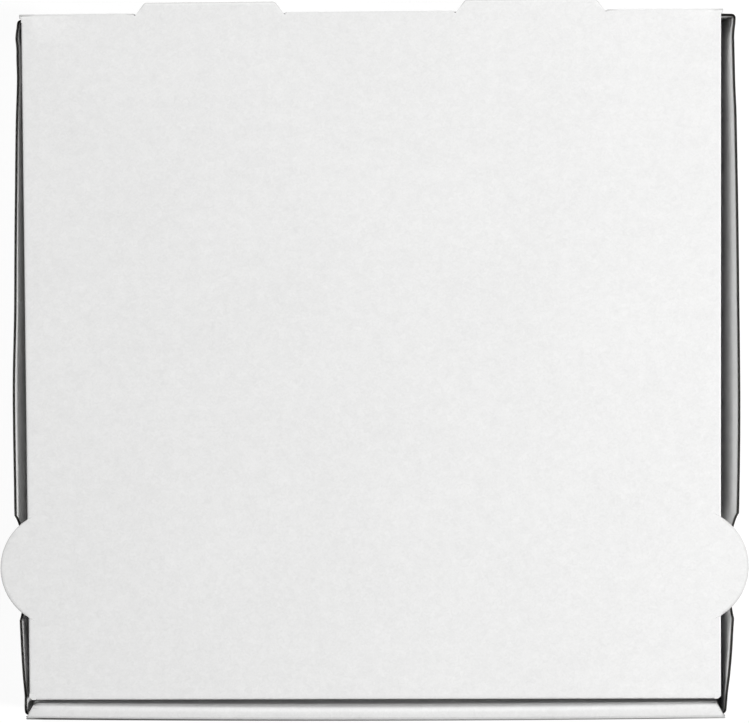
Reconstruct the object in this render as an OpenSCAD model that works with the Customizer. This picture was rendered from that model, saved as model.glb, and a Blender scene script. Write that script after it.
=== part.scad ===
// Pizza box folded from one sheet of corrugated board, shown closed.
// The tray has single side walls and a front wall that rolls over on itself.
// The lid hinges on the rear wall's top crease and tucks inside the tray.
// Origin: centre of the underside. +X is right, +Y is towards the hinge, +Z is up.

/* [Board] */
// Thickness of the corrugated board
board_t = 1.5; // [1:0.1:2.4]
// Inside radius of a folded crease
crease_r = 0.5; // [0.3:0.1:1]
// Gap between layers of board that lie side by side
layer_gap = 0.3; // [0.2:0.05:0.5]
// Width of a die cut between two pieces of board
kerf = 0.4; // [0.3:0.05:0.8]

/* [Tray] */
// Width of the tray over its side creases
tray_w = 305; // [260:1:420]
// Depth of the tray over its front and rear walls
tray_d = 308.2; // [260:0.1:420]
// Height of the closed box, floor to lid top
box_h = 44; // [36:1:60]
// Thickness of the rolled front wall, outer face to inner face
roll_w = 7.5; // [6.5:0.1:12]
// How much shorter the roll is at its inner crease, each end
roll_mitre = 3.8; // [2:0.1:8]
// Length of the front corner flaps inside the roll
front_flap_len = 55; // [30:1:70]
// Length of the rear corner flaps inside the rear wall
rear_flap_len = 40; // [20:1:44]
// Gap under the corner flaps
flap_lift = 1; // [0.5:0.1:4]

/* [Side wall lean] */
// Outward lean of the left wall's top edge at its rear corner
left_lean_rear = 1.4; // [0:0.1:6]
// Outward lean of the left wall's top edge half way along
left_lean_mid = 4.6; // [1:0.1:8]
// Outward lean of the right wall's top edge at its rear corner
right_lean_rear = 5.7; // [0:0.1:6]
// Outward lean of the right wall's top edge half way along
right_lean_mid = 7.4; // [1:0.1:8]
// Outward lean of both walls' top edges at the front corners
lean_front = 0.7; // [-0.8:0.1:1]

/* [Front wall lock] */
// Width of a lock tab under the rolled front wall
lock_tab_w = 40; // [20:1:60]
// Distance from the centre line to a lock tab's middle
lock_tab_x = 70; // [50:1:85]

/* [Lid] */
// How far the lid's side edge stands inside the tray's at the hinge, each side
lid_inset_rear = 0.9; // [0.8:0.1:3]
// How far it stands inside at the front
lid_inset_front = 2.1; // [1.6:0.1:6]
// Gap between the lid's front edge and the rolled front wall
lid_front_gap = 2.4; // [0.8:0.1:4]
// Gap between the floor and the free edges of the lid's side flaps and tuck flap
lid_flap_gap = 6.5; // [4:0.5:20]
// Inward lean of the lid's flaps, degrees
lid_flap_lean = 4; // [4:0.5:10]
// How much shorter a lid flap is at its free edge, each end
lid_flap_taper = 8; // [4:1:20]
// Corner radius of the lid's flaps
lid_flap_r = 9; // [3:1:14]
// Distance from a lid corner to the nearest end of a side flap
lid_flap_end = 9; // [7:0.5:20]
// Distance from a front corner of the lid to the nearest ends of its creases
lid_corner = 3; // [2.5:0.1:6]
// Bevel on the lid's front corners
lid_corner_bevel = 1.2; // [0.6:0.1:2]

/* [Ears] */
// Radius of the round ears and of the finger notches below them
ear_r = 25; // [18:1:30]
// How far an ear stands out from the lid's edge
ear_reach = 12; // [9:0.5:14]
// Distance from the lid's front edge to an ear's middle
ear_from_front = 57.5; // [45:0.5:90]
// Depth of the finger notches in the side walls
notch_depth = 15; // [10:0.5:18]

/* [Rear vents] */
// Width of a vent tab at the hinge
vent_tab_w = 65; // [40:1:66]
// How much narrower a vent tab is at its tip, each side
vent_tab_taper = 4.2; // [2:0.1:8]
// How far a vent tab stands out behind the rear wall
vent_tab_len = 4.8; // [3:0.1:8]
// Corner radius of a vent tab
vent_tab_r = 2; // [1:0.1:2.5]
// Distance from the centre line to a vent tab's middle
vent_tab_x = 69.5; // [45:0.5:70]

/* [Hinge] */
// Gap between the lid's rounded rear edge and the rear wall
hinge_gap = 0.15; // [0.1:0.05:0.3]

/* [Hidden] */
$fn = 64;

// Folds and heights
fold_r = crease_r + board_t;
crease_lap = 2 * board_t;
flap_drop = board_t / 2;
lid_under = box_h - board_t;
front_h = lid_under;
wall_top = lid_under - layer_gap;
rear_top = lid_under - hinge_gap;
roll_flap_top = front_h - board_t - layer_gap;
board_rest = board_t + layer_gap;

// Tray plan
half_w = tray_w / 2;
half_d = tray_d / 2;
corner_y = half_d - board_t - layer_gap;
side_end_y = corner_y - fold_r;
roll_in_y = -half_d + roll_w;
roll_half = half_w - roll_mitre;
roll_panel_half = roll_half + roll_mitre * board_t / roll_w;

// Shape of the bowed side walls
lean_peak = 0.5;
rear_curve = 1.5;
front_curve = 2.6;
wall_steps = 20;
corner_steps = 4;
front_drop_share = 0.96;

// Lid plan
axis_y = half_d - board_t / 2;
axis_z = box_h - board_t / 2;
hinge_lap = board_t / 2;
lid_front_y = roll_in_y + lid_front_gap;
lid_len = axis_y - lid_front_y;
lid_half_rear = half_w - lid_inset_rear;
lid_half_front = half_w - lid_inset_front;
lid_flap_depth = lid_under - lid_flap_gap;
lid_taper = atan((lid_half_rear - lid_half_front) / lid_len);
lid_edge_len = lid_len / cos(lid_taper);
ear_inset = ear_r - ear_reach;
ear_at = (lid_len - ear_from_front) / cos(lid_taper);
ear_gap_half = sqrt(pow(ear_r, 2) - pow(ear_inset - fold_r, 2)) + kerf;
ear_y = lid_front_y + ear_from_front;
tuck_half = lid_half_front - lid_corner;
crease_start = axis_y - (corner_y - board_t - layer_gap);
flat_inset = fold_r + crease_lap / 2;

// Vent tabs, measured from the hinge axis
vent_reach = vent_tab_len + board_t / 2;
vent_swing = sqrt(pow(vent_reach, 2) + pow(board_t / 2, 2)) + kerf;

// Finger notches
notch_z = wall_top - notch_depth + ear_r;

// Corner of an outline: unit vectors to its neighbours and the rounding circle's centre
function unit(v) = v / norm(v);
function tangent_len(p, a, b, r) = r / tan(acos(unit(a - p) * unit(b - p)) / 2);
function round_centre(p, a, b, r) =
    p + unit(unit(a - p) + unit(b - p)) * norm([r, tangent_len(p, a, b, r)]);

// Convex outline with corner i rounded to radius radii[i]; zero leaves it sharp
module rounded_outline(points, radii) {
    n = len(points);
    polygon([
        for (i = [0 : n - 1])
            let (p = points[i], a = points[(i + n - 1) % n], b = points[(i + 1) % n], r = radii[i])
            let (cut = r > 0 ? tangent_len(p, a, b, r) : 0)
            each r > 0 ? [p + cut * unit(a - p), p + cut * unit(b - p)] : [p]
    ]);
    for (i = [0 : n - 1])
        if (radii[i] > 0)
            translate(round_centre(points[i], points[(i + n - 1) % n], points[(i + 1) % n], radii[i]))
                circle(r = radii[i]);
}

// Section of a crease: board bent through a right angle, from flat on top to straight down at the right
// The laps are straight lengths of board before and after the bend.
module crease_section(flat_lap = 0, down_lap = 0) {
    intersection() {
        difference() {
            circle(r = fold_r);
            circle(r = crease_r);
        }
        square(2 * fold_r);
    }
    if (flat_lap > 0) translate([-flat_lap, crease_r]) square([flat_lap, board_t]);
    if (down_lap > 0) translate([crease_r, -down_lap]) square([board_t, down_lap]);
}

// Extrudes a section drawn in (y, z) along X, centred
module along_x(length) {
    translate([-length / 2, 0, 0])
        rotate([90, 0, 90])
            linear_extrude(length) children();
}

// Extrudes a section drawn in (x, z) along Y, centred
module along_y(length) {
    translate([0, length / 2, 0])
        rotate([90, 0, 0])
            linear_extrude(length) children();
}

// Floor with the front wall's outer panel and the rear wall, bent up along their creases
module floor_and_walls() {
    flat_y = half_d - fold_r;
    difference() {
        along_x(tray_w) {
            translate([-half_d, fold_r]) square([board_t, front_h - 2 * fold_r]);
            translate([-flat_y, fold_r]) rotate(180) crease_section();
            translate([-flat_y, 0]) square([2 * flat_y, board_t]);
            translate([flat_y, fold_r]) rotate(-90) crease_section();
            translate([half_d - board_t, fold_r]) square([board_t, rear_top - fold_r]);
        }
        for (side = [-1, 1]) {
            // Floor's side edge, where the side crease begins
            translate([side * half_w, 0, 0]) cube([2 * fold_r, 2 * flat_y, 2 * fold_r], center = true);
            // Slot for a lock tab
            translate([side * lock_tab_x, roll_in_y - board_t / 2, board_t / 2])
                cube([lock_tab_w + 2 * kerf, board_t + 2 * kerf, 2 * board_t], center = true);
            // Opening that a vent tab leaves in the rear wall
            translate([side * vent_tab_x, half_d + kerf, axis_z])
                rotate([90, 0, 0])
                    linear_extrude(board_t + 2 * kerf)
                        vent_outline(-vent_swing, kerf);
        }
    }
}

// Crease from the floor up into a side wall
module side_crease() {
    along_y(2 * side_end_y)
        translate([half_w - fold_r, fold_r])
            rotate(-90) crease_section(down_lap = crease_lap);
}

// Rest of the front wall: over the top and down inside, locked into the floor
module front_roll() {
    // Top strip between its two creases, with mitred ends
    intersection() {
        along_x(tray_w) {
            translate([-half_d + fold_r, front_h - fold_r]) rotate(90) crease_section(flat_lap = crease_lap);
            translate([-half_d + fold_r, front_h - board_t]) square([roll_w - 2 * fold_r, board_t]);
            translate([roll_in_y - fold_r, front_h - fold_r]) crease_section(down_lap = crease_lap);
        }
        linear_extrude(box_h)
            polygon([
                [-half_w, -half_d], [half_w, -half_d],
                [roll_half, roll_in_y], [-roll_half, roll_in_y]]);
    }
    // Inner panel and its lock tabs, which end flush with the underside
    along_x(2 * roll_panel_half)
        translate([roll_in_y - board_t, board_rest]) square([board_t, front_h - fold_r - board_rest]);
    for (side = [-1, 1])
        translate([side * lock_tab_x - lock_tab_w / 2, roll_in_y - board_t, 0])
            cube([lock_tab_w, board_t, board_rest + crease_lap]);
}

// Outline of a vent tab or its opening, from the hinge axis to a signed reach
module vent_outline(reach, spread = 0) {
    root = vent_tab_w / 2 + spread;
    tip = root - vent_tab_taper;
    rounded_outline([[-root, 0], [root, 0], [tip, reach], [-tip, reach]], [0, 0, vent_tab_r, vent_tab_r]);
}

// Lean of a side wall's top edge at a share s of its length from the rear
function lean_at(s, rear, mid) =
    s < lean_peak
        ? mid - (mid - rear) * pow((lean_peak - s) / lean_peak, rear_curve)
        : mid - (mid - lean_front) * pow((s - lean_peak) / (1 - lean_peak), front_curve);

// Top of a side wall, which dips at the front to pass under the roll
function wall_top_at(s) =
    s < front_drop_share ? wall_top
        : wall_top - (wall_top - roll_flap_top) * (s - front_drop_share) / (1 - front_drop_share);

// One station of a side wall: outer face [x, y], outward normal, bottom, top and lean
function rear_flap_stations(lean) = concat(
    [[half_w - rear_flap_len, corner_y, [0, 1], fold_r + flap_lift, wall_top, lean]],
    [for (k = [0 : corner_steps - 1])
        let (a = 90 * (1 - k / corner_steps))
        [half_w - fold_r + fold_r * cos(a), side_end_y + fold_r * sin(a), [cos(a), sin(a)],
         fold_r + flap_lift, wall_top, lean]]);

function side_stations(rear, mid) =
    [for (i = [0 : wall_steps])
        let (s = i / wall_steps)
        [half_w, side_end_y * (1 - 2 * s), [1, 0], fold_r, wall_top_at(s), lean_at(s, rear, mid)]];

function front_flap_stations() = concat(
    [for (k = [1 : corner_steps])
        let (a = -90 * k / corner_steps)
        [half_w - fold_r + fold_r * cos(a), -side_end_y + fold_r * sin(a), [cos(a), sin(a)],
         fold_r + flap_lift, roll_flap_top, lean_front]],
    [[half_w - front_flap_len, -corner_y, [0, -1], fold_r + flap_lift, roll_flap_top, lean_front]]);

// Corners of the board at a station: outer bottom, outer top, inner top, inner bottom
function station_corners(st) =
    let (in = board_t * st[2])
    [[st[0], st[1], st[3]],
     [st[0] + st[5], st[1], st[4]],
     [st[0] + st[5] - in[0], st[1] - in[1], st[4]],
     [st[0] - in[0], st[1] - in[1], st[3]]];

// Right-hand side wall with its two corner flaps, as one bent and bowed strip of board
module wall_strip(rear, mid) {
    stations = concat(rear_flap_stations(rear), side_stations(rear, mid), front_flap_stations());
    last = len(stations) - 1;
    polyhedron(
        points = [for (st = stations) each station_corners(st)],
        faces = concat(
            [[0, 1, 2], [0, 2, 3]],
            [for (i = [0 : last - 1], c = [0 : 3])
                let (here = 4 * i + c, up = 4 * i + (c + 1) % 4)
                each [[here, here + 4, up + 4], [here, up + 4, up]]],
            [[4 * last, 4 * last + 2, 4 * last + 1], [4 * last, 4 * last + 3, 4 * last + 2]]));
}

// Right-hand side wall with the finger notch under the lid's ear
module side_wall(rear, mid) {
    difference() {
        wall_strip(rear, mid);
        translate([half_w - ear_r, ear_y, notch_z])
            rotate([0, 90, 0]) cylinder(r = ear_r, h = 2 * ear_r);
    }
}

module tray() {
    color("whitesmoke") {
        floor_and_walls();
        front_roll();
        side_crease();
        side_wall(right_lean_rear, right_lean_mid);
        mirror([1, 0, 0]) {
            side_crease();
            side_wall(left_lean_rear, left_lean_mid);
        }
    }
}

// Flap hung from an edge of the lid
// The edge runs along +X at y = 0, outside is +Y and the lid's top is z = 0.
// The creases are [from, to] stretches of the edge; the flap's outline is drawn as (x, depth).
module folded_flap(creases) {
    lean_in = lid_flap_depth * tan(lid_flap_lean);
    translate([0, -fold_r, -fold_r]) {
        for (c = creases)
            translate([(c[0] + c[1]) / 2, 0, 0])
                along_x(c[1] - c[0]) crease_section(crease_lap, flap_drop);
        intersection() {
            along_x(2 * lid_edge_len)
                polygon([
                    [crease_r, 0], [fold_r, 0], [fold_r, -flap_drop],
                    [fold_r - lean_in, -lid_flap_depth], [crease_r - lean_in, -lid_flap_depth],
                    [crease_r, -flap_drop]]);
            along_y(2 * lid_flap_depth) mirror([0, 1]) children();
        }
    }
}

// Outline of a lid flap between two places along its edge
module flap_outline(from, to) {
    depth = lid_flap_depth - fold_r;
    tip_from = from + lid_flap_taper;
    tip_to = to - lid_flap_taper;
    rounded_outline(
        [
            [from, -fold_r], [to, -fold_r], [to, flap_drop],
            [tip_to, depth], [tip_from, depth], [from, flap_drop]],
        [0, 0, 0, lid_flap_r, lid_flap_r, 0]);
}

// Right-hand side flap, with the opening that the ear was cut from
module lid_side_flap() {
    front_end = lid_edge_len - lid_flap_end;
    translate([lid_half_rear, axis_y, box_h])
        rotate(-90 - lid_taper)
            folded_flap([
                [crease_start, ear_at - ear_gap_half],
                [ear_at + ear_gap_half, lid_edge_len - lid_corner]])
                difference() {
                    flap_outline(lid_flap_end, front_end);
                    translate([ear_at, -ear_inset]) circle(r = ear_r + kerf);
                }
}

// Tuck flap on the lid's front edge
module lid_tuck_flap() {
    translate([0, lid_front_y, box_h])
        rotate(180)
            folded_flap([[-tuck_half, tuck_half]])
                flap_outline(-tuck_half, tuck_half);
}

// Flat corner of the lid between the ends of its creases, with its edges along -X and +Y
module corner_tab(side_end, front_end, bevel) {
    reach = 2 * flat_inset;
    across = fold_r + layer_gap / 2;
    slit = kerf / 2;
    difference() {
        polygon([[-bevel, 0], [0, bevel], [0, reach], [-reach, reach], [-reach, 0]]);
        translate([-across, side_end - slit]) square([2 * across, reach]);
        translate([slit - front_end - reach, -across]) square([reach, 2 * across]);
    }
}

// Flat of the lid: the panel inside its creases, its corners, the round ears and the vent tabs
module lid_flat() {
    rear = lid_half_rear - flat_inset;
    rear_y = axis_y - crease_start;
    front = lid_half_front - flat_inset;
    front_y = lid_front_y + flat_inset;
    linear_extrude(board_t) {
        polygon([
            [half_w, axis_y], [half_w, axis_y - hinge_lap], [rear, rear_y], [front, front_y],
            [-front, front_y], [-rear, rear_y], [-half_w, axis_y - hinge_lap], [-half_w, axis_y]]);
        for (side = [0, 1])
            mirror([side, 0]) {
                translate([lid_half_rear - ear_at * sin(lid_taper) - ear_inset, ear_y]) circle(r = ear_r);
                translate([vent_tab_x, axis_y]) vent_outline(vent_reach);
                translate([lid_half_front, lid_front_y]) corner_tab(lid_corner, lid_corner, lid_corner_bevel);
                translate([lid_half_rear, axis_y])
                    mirror([0, 1]) corner_tab(crease_start, 2 * flat_inset, crease_r);
            }
    }
}

// Section of the lid's rounded rear edge about the hinge axis, with a strip of the flat lid
module hinge_section() {
    intersection() {
        circle(d = board_t);
        translate([0, -board_t]) square([board_t, 2 * board_t]);
    }
    translate([-hinge_lap, -board_t / 2]) square([hinge_lap, board_t]);
}

// Rounded rear edge of the lid, broken at the vent tabs
module lid_hinge_edge() {
    root = vent_tab_w / 2 + kerf;
    spans = [
        [-half_w, -vent_tab_x - root],
        [root - vent_tab_x, vent_tab_x - root],
        [vent_tab_x + root, half_w]];
    for (span = spans)
        translate([(span[0] + span[1]) / 2, axis_y, axis_z])
            along_x(span[1] - span[0])
                hinge_section();
}

module lid() {
    color("white") {
        translate([0, 0, lid_under]) lid_flat();
        lid_hinge_edge();
        lid_tuck_flap();
        lid_side_flap();
        mirror([1, 0, 0]) lid_side_flap();
    }
}

tray();
lid();
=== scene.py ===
import math

import bmesh
import bpy
import numpy as np
from mathutils import Euler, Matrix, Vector
from mathutils.bvhtree import BVHTree
from mathutils.geometry import delaunay_2d_cdt, intersect_point_line


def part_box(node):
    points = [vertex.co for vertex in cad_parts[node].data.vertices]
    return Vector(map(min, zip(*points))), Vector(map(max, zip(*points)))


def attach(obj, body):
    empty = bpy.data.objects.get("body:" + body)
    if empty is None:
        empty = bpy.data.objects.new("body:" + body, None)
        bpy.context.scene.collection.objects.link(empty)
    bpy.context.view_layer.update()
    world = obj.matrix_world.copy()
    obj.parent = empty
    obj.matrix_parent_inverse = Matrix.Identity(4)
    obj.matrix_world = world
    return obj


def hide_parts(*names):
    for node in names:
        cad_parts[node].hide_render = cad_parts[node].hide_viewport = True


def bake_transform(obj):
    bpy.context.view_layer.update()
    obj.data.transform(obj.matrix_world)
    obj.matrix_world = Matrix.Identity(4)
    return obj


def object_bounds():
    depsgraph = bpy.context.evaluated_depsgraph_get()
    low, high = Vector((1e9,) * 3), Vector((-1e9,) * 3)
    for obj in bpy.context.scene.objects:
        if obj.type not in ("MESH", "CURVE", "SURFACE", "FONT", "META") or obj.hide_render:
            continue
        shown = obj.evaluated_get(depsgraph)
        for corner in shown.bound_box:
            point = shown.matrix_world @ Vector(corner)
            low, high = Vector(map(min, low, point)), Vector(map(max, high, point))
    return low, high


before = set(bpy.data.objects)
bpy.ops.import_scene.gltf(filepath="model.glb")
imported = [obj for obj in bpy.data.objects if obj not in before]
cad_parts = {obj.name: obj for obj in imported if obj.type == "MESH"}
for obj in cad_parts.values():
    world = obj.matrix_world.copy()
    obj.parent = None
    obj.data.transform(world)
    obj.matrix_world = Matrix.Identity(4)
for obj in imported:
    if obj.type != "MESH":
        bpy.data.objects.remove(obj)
cadLow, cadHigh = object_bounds()
scene = bpy.context.scene
scene.view_settings.view_transform = "Standard"
mm = 0.001
print("frame loaded:", ", ".join(sorted(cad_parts)))

# The sheet that both pieces are folded from
board = {
    "liner": 0.2 * mm,          # paper on each side of the flutes
    "cutDepth": 1.9 * mm,       # more board than this behind a face makes it a cut edge
    "pinch": 0.2 * mm,          # squeeze of a die-cut edge, each side
    "foldRadius": 2.0 * mm,
    "foldAngle": 6,             # degrees; faces that turn by more have a fold between them
    "sharpAngle": 46,
    "bands": (0.7 * mm, 1.5 * mm),   # support beside folds and cut edges
    "bandStep": 9 * mm,
    "bandSlack": 0.94,          # share of its distance that support keeps from other folds
    "bandGap": 0.3 * mm,        # it is at least this far from other support
    "plainGap": 0.25 * mm,      # and from an edge with no fold
    "smallFace": 6e-6,          # faces below this area get none
    "shortRest": 0.4 * mm,      # nor do edges with less than this to spare
    "arcCuts": 3,               # extra points in each step of a round cut
    "arcStep": (0.3 * mm, 6 * mm),
    "arcTurn": (1, 20),         # degrees from one step to the next
    "gridStep": 18 * mm,
    "weld": 2e-6,
}

# Places of the folded panels, as in the solids
plan = {
    "halfWidth": 152.5 * mm,
    "halfDepth": 154.1 * mm,
    "cornerY": 152.3 * mm,      # outer face of the corner flaps
    "rollInY": -146.6 * mm,     # inner face of the rolled front wall
    "frontTop": 42.5 * mm,
    "lidFrontY": -144.2 * mm,
    "lidTop": 44.0 * mm,
    "lidHalf": (151.6 * mm, 150.4 * mm),   # half the lid's width at the hinge and at the front
    "half": 0.75 * mm,          # half the board
}

hinge = {
    "axisY": plan["halfDepth"] - plan["half"],
    "axisZ": plan["lidTop"] - plan["half"],
    "rearY": plan["halfDepth"],
}

# Slits at the ends of the lid's creases, which are closed in the paper
slits = {
    "across": 147.5 * mm,       # beside the tuck flap's crease
    "front": -141.3 * mm,       # at the ends of the side creases
    "rear": 150.6 * mm,
    "length": 2.6 * mm,
    "near": 0.16 * mm,          # points this near a slit's middle are its sides
    "open": 0.01 * mm,          # half of what stays open
    "lowest": 41.3 * mm,
    "pastEdge": 0.3 * mm,
}

ears = {
    "y": -86.7 * mm,
    "radius": 25 * mm,
    "inset": 13 * mm,           # centre of the round, inside the lid's edge
    "creaseX": (10.5 * mm, 13.4 * mm),   # where the creases beside an ear end, from that centre
    "creaseY": (21.5 * mm, 23.5 * mm),
    "creaseGap": 0.2 * mm,
    "rimShadeFrom": 0.5 * mm,        # the right ear's rim gets a wider band of painted shade, outside the lid's edge
    "rimShadeWidth": 1.4 * mm,
}

# Slanted ends of the rolled front: where they start and which way they face
mitres = {
    "y": -145 * mm,
    "outward": 0.5,
    "rearward": 0.2,
}

# The rolled front wall bows out in its middle, so its ends are drawn in
frontBow = {
    "depth": 0.9 * mm,
    "from": -128 * mm,
}

# Its inner fold is rolled and not creased, so it is rounder in the middle than in the solid
rollSag = {
    "radius": 3.8 * mm,
    "halfWidth": 146 * mm,
    "fade": 5 * mm,
    "pastInner": 0.3 * mm,
    "lean": 0.115,              # slope of the strip down to the front
    "leanFrom": -148.8 * mm,
    "leanRound": 1 * mm,        # over which the slope sets in
    "leftShare": 0.35,          # so much less at the left end
    "cuts": (-149.4, -150.3, -151.2),
    "cutsAbove": 40.7 * mm,
}

# Uneven top edges of the side walls: place along the wall, push of the left and of the right one
wallWobble = {
    "at": [-145, -128, -113, -60, -49, -15, 29, 72, 107, 125, 138, 147],
    "left": [-0.6, -0.45, -0.5, 0.12, 0.03, 0.06, -0.7, -0.55, -0.4, -0.6, -0.1, 0.8],
    "right": [-0.2, -0.1, -0.35, -0.3, -0.3, -0.25, -0.4, -0.35, -0.4, -0.75, -0.8, -0.8],
    "from": 149.2 * mm,
    "fade": 8 * mm,
    "endGap": 2 * mm,
    "cutShift": 0.013 * mm,     # keeps the cuts off the solid's own points
    "cutSteps": [*range(-150, -136, 2), *np.arange(-132.5, 136, 5), *range(136, 151, 2)],
}

# Painted shade along the outer fold of the rolled front, on the part of the round that faces forward,
# placed in degrees up the fold
creaseShadeBand = {
    "reach": 150.6 * mm,
    "depth": 0.8,
    "slope": 0.2,               # deeper and wider to the left
    "high": 58,
    "spread": 9,
    "highFade": 14,
    "lowFade": 12,
    "pastFold": (0.2 * mm, 0.3 * mm),
}

creases = {
    "lid": 9.0,                 # how square a fold is: 2 is round
    "tray": 3.0,
    "frontEdge": 2.2,
}

flutes = {
    "pitch": 3.52 * mm,
    "height": 0.74 * mm,        # middle of the sheet, crest to trough
    "sheet": 0.2 * mm,
    "stepsPerWave": 8,
    "edgeInset": 0.25 * mm,     # flutes end this far behind a cut edge
    "foldInset": 2.6 * mm,      # and this far from a fold
    "crushLength": 1.4 * mm,
    "crush": 0.62,              # what is left of the height at a cut edge
    "rolled": 0.55,             # and in the strip that is rolled over
    "bowed": 0.66,              # and in the bowed side walls
    "shortest": 4.0 * mm,
    "bowStep": 12 * mm,         # points along the flutes of the bowed front wall
    "shared": 0.6,              # share of its length that a flute's step has beside the last one
    "reach": 0.4,               # longest line through the box
    "sharpAngle": 60,
    "weld": 1e-6,
}


def cadSolid(node):
    bm = bmesh.new()
    bm.from_mesh(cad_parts[node].data)
    bmesh.ops.remove_doubles(bm, verts=bm.verts, dist=board["weld"])
    bm.normal_update()
    return bm


def smoothStep(value):
    value = min(max(value, 0), 1)
    return value * value * (3 - 2 * value)


def drawnIn(co):
    reach = smoothStep((frontBow["from"] - co.y) / (frontBow["from"] - plan["rollInY"]))
    side = min(abs(co.x) / plan["halfWidth"], 1) ** 2
    return Vector((0, frontBow["depth"] * side * reach * co.z / plan["frontTop"], 0))


def sunkRoll(co):
    if co.y > plan["rollInY"] + rollSag["pastInner"]:
        return Vector((0, 0, 0))
    middle = max(1 - (co.x / rollSag["halfWidth"]) ** 2, 0)
    ahead = max(rollSag["leanFrom"] - co.y, 0)
    share = 1 - rollSag["leftShare"] * max(-co.x / plan["halfWidth"], 0)
    lean = rollSag["lean"] * share * (math.hypot(ahead, rollSag["leanRound"]) - rollSag["leanRound"])
    drops = []
    for radius in (rollSag["radius"], board["foldRadius"]):
        reach = min(max(co.y - plan["rollInY"] + radius, 0), radius)
        drops.append(radius - math.sqrt(radius ** 2 - reach ** 2))
    level = smoothStep(1 - (plan["frontTop"] - board["foldRadius"] - co.z) / rollSag["fade"])
    return Vector((0, 0, ((drops[1] - drops[0]) * middle - lean) * level))


def wobble(side, place):
    at, push = wallWobble["at"], wallWobble[side]
    i = min(max(int(np.searchsorted(at, place)) - 1, 0), len(at) - 2)
    return push[i] + (push[i + 1] - push[i]) * smoothStep((place - at[i]) / (at[i + 1] - at[i]))


def pushedWall(co):
    if abs(co.x) < wallWobble["from"]:
        return Vector((0, 0, 0))
    push = wobble("right" if co.x > 0 else "left", co.y / mm) * mm
    end = smoothStep((plan["cornerY"] - wallWobble["endGap"] - abs(co.y)) / wallWobble["fade"])
    return Vector((math.copysign(push, push * co.x) * end * co.z / plan["frontTop"], 0, 0))


def bent(co):
    return co + drawnIn(co) + pushedWall(co) + sunkRoll(co)


def lidEdge(y):
    rear, front = plan["lidHalf"]
    return rear + (front - rear) * (hinge["axisY"] - y) / (hinge["axisY"] - plan["lidFrontY"])


def isOnPanel(node, co):
    # Ends of the lid's creases, which lie flush with the panel beside them
    past = slits["pastEdge"]
    inside = abs(co.x) < lidEdge(co.y) + past and co.y < hinge["axisY"] + past
    return node == "lid" and inside and co.z > slits["lowest"]


def closedSlit(co):
    x, y, near, gap = abs(co.x), co.y, slits["near"], slits["open"]
    if x > lidEdge(y) - slits["length"]:
        for middle in (slits["front"], slits["rear"]):
            if abs(y - middle) < near:
                y = middle + math.copysign(gap, y - middle)
    if y < plan["lidFrontY"] + slits["length"] and abs(x - slits["across"]) < near:
        x = slits["across"] + math.copysign(gap, x - slits["across"])
    # a crease beside an ear runs on to the ear's round cut
    dx, dy = x - lidEdge(ears["y"]) + ears["inset"], y - ears["y"]
    (lowX, highX), (lowY, highY) = ears["creaseX"], ears["creaseY"]
    isBeside = lowX < dx < highX and lowY < abs(dy) < highY
    if isBeside and math.hypot(dx, dy) > ears["radius"] + ears["creaseGap"]:
        reach = math.sqrt(ears["radius"] ** 2 - min(dx, ears["inset"]) ** 2)
        y = ears["y"] + math.copysign(reach, dy)
    return Vector((math.copysign(x, co.x), y, co.z))


# Painted shade on the forward-facing round of the rolled front's outer fold
def creaseShadeAt(co):
    pastOut, pastRise = creaseShadeBand["pastFold"]
    out = -co.y - plan["halfDepth"] + board["foldRadius"]
    rise = co.z - plan["frontTop"] + board["foldRadius"]
    if out < pastOut or rise < -pastRise or abs(co.x) > creaseShadeBand["reach"]:
        return 0.0
    turn = math.degrees(math.atan2(rise, out))
    left = -co.x / plan["halfWidth"]
    high = smoothStep((creaseShadeBand["high"] + creaseShadeBand["spread"] * left - turn) / creaseShadeBand["highFade"])
    return (creaseShadeBand["depth"] + creaseShadeBand["slope"] * left) * high * smoothStep(turn / creaseShadeBand["lowFade"])


def squarer(normal, power):
    # A fold's round outside is pushed out towards its corner, as a scored fold is tight
    level = abs(normal.z)
    upright = math.hypot(normal.x, normal.y)
    return (level ** power + upright ** power) ** (-1 / power) - 1


def isRoundedHinge(face):
    middle = face.calc_center_median()
    return hinge["axisY"] < middle.y < hinge["rearY"] and abs(face.normal.x) < 0.5


def isMitre(face):
    # The board behind these slanted cuts is thin
    middle = face.calc_center_median()
    outward = math.copysign(face.normal.x, face.normal.x * middle.x)
    isSlanted = outward > mitres["outward"] and face.normal.y > mitres["rearward"]
    return middle.y < mitres["y"] and isSlanted


def cutEdges(bm):
    tree = BVHTree.FromBMesh(bm)
    found = []
    for face in bm.faces:
        start = face.calc_center_median() - face.normal * board["weld"]
        depth = tree.ray_cast(start, -face.normal)[3]
        isThick = depth is None or depth > board["cutDepth"]
        if isMitre(face) or (isThick and not isRoundedHinge(face)):
            found.append(face)
    return found


def otherBoundaryVert(vert, edge):
    for e in vert.link_edges:
        if e is not edge and e.is_boundary:
            return e.other_vert(vert)
    return None


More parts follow.
